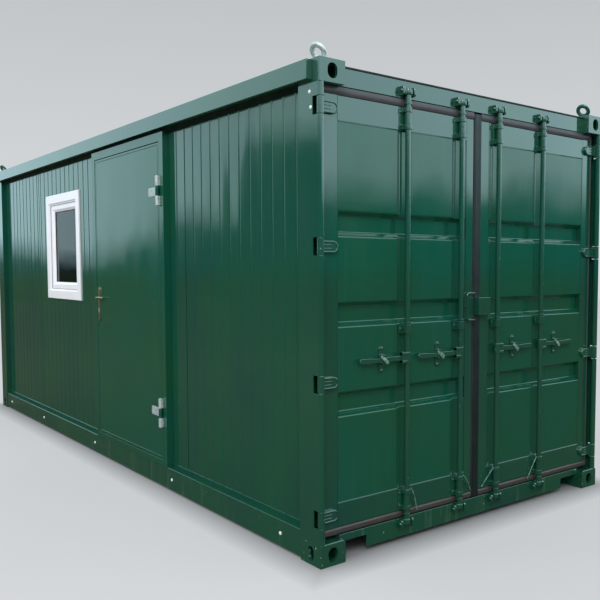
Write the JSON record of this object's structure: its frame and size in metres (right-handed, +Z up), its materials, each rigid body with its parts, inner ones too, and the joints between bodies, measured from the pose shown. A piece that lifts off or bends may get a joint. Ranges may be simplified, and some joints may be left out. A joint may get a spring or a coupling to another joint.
{
  "type": "portable site cabin",
  "caption": "Steel site cabin on a container frame, with double cargo doors on one end and a hinged door and window in one long side.",
  "frame": {"origin": "under the middle of the cabin, at the level of its feet", "axes": "+Z up, +Y from the cargo doors to the far end, +X away from the side with the personnel door"},
  "size_m": [2.51, 6.058, 2.6807],
  "materials": {
    "green_paint": "deep green gloss paint on steel",
    "roof_sheet": "green coated roof sheet",
    "galvanised_steel": "hot dip galvanised",
    "floor_board": "sealed floor board",
    "floor_tray": "galvanised tray under the insulation",
    "ceiling_board": "white coated board",
    "seal_rubber": "extruded rubber",
    "window_plastic": "white moulded profile",
    "glazing": "clear double glazing",
    "anodised_handle": "champagne anodised"
  },
  "bodies": {
    "cabin": {"bottom_castings": "green_paint", "top_castings": "green_paint", "front_corner_posts": "green_paint", "rear_corner_posts": "green_paint", "side_sills": "green_paint", "end_sills": "green_paint", "roof_fascias": "green_paint", "end_headers": "green_paint", "wall_beside_side_door": "green_paint", "wall_with_window": "green_paint", "blank_side_wall": "green_paint", "rear_wall": "green_paint", "bar_keepers": "green_paint", "side_door_frame": "green_paint", "roof": "roof_sheet", "hinge_pins": "galvanised_steel", "lifting_eyes": "galvanised_steel", "side_door_frame_barrels": "galvanised_steel", "floor_deck": "floor_board", "floor_tray": "floor_tray", "ceiling": "ceiling_board", "window_frame": "window_plastic", "window_sash": "window_plastic", "window_glass": "glazing"},
    "left_cargo_door": {"left_cargo_leaf": "green_paint", "left_hinge_blades": "green_paint", "left_bar_guides": "green_paint", "left_handle_catches": "green_paint", "left_lock_bracket": "green_paint", "left_cargo_seal": "seal_rubber"},
    "right_cargo_door": {"right_cargo_leaf": "green_paint", "right_hinge_blades": "green_paint", "right_bar_guides": "green_paint", "right_handle_catches": "green_paint", "right_lock_box": "green_paint", "right_cargo_seal": "seal_rubber"},
    "locking_bar_1": {"locking_bar_1": "green_paint"},
    "locking_bar_2": {"locking_bar_2": "green_paint"},
    "locking_bar_3": {"locking_bar_3": "green_paint"},
    "locking_bar_4": {"locking_bar_4": "green_paint"},
    "side_door": {"side_door_leaf": "green_paint", "side_door_hinge_leaves": "galvanised_steel", "side_door_handle_plates": "anodised_handle"},
    "side_door_lever": {"side_door_lever": "anodised_handle"}
  },
  "joints": [
    {"name": "left_cargo_door_swing", "type": "hinge", "parent": "cabin", "child": "left_cargo_door", "pos_m": [-1.201, -3.011, 1.3], "axis": [0, 0, -1], "range_deg": [0, 235]},
    {"name": "right_cargo_door_swing", "type": "hinge", "parent": "cabin", "child": "right_cargo_door", "pos_m": [1.201, -3.011, 1.3], "axis": [0, 0, 1], "range_deg": [0, 235]},
    {"name": "locking_bar_1_turn", "type": "hinge", "parent": "left_cargo_door", "child": "locking_bar_1", "pos_m": [-0.597, -3.002, 1.3], "axis": [0, 0, 1], "range_deg": [0, 100]},
    {"name": "locking_bar_2_turn", "type": "hinge", "parent": "left_cargo_door", "child": "locking_bar_2", "pos_m": [-0.165, -3.002, 1.3], "axis": [0, 0, 1], "range_deg": [0, 100]},
    {"name": "locking_bar_3_turn", "type": "hinge", "parent": "right_cargo_door", "child": "locking_bar_3", "pos_m": [0.165, -3.002, 1.3], "axis": [0, 0, -1], "range_deg": [0, 100]},
    {"name": "locking_bar_4_turn", "type": "hinge", "parent": "right_cargo_door", "child": "locking_bar_4", "pos_m": [0.597, -3.002, 1.3], "axis": [0, 0, -1], "range_deg": [0, 100]},
    {"name": "side_door_swing", "type": "hinge", "parent": "cabin", "child": "side_door", "pos_m": [-1.233, -1.167, 1.3], "axis": [0, 0, 1], "range_deg": [0, 120]},
    {"name": "side_door_lever_turn", "type": "hinge", "parent": "side_door", "child": "side_door_lever", "pos_m": [-1.25, -0.01, 1.305], "axis": [1, 0, 0], "range_deg": [0, 40], "stiffness_Nm_per_rad": 1.5, "springref_deg": -8.59}
  ]
}
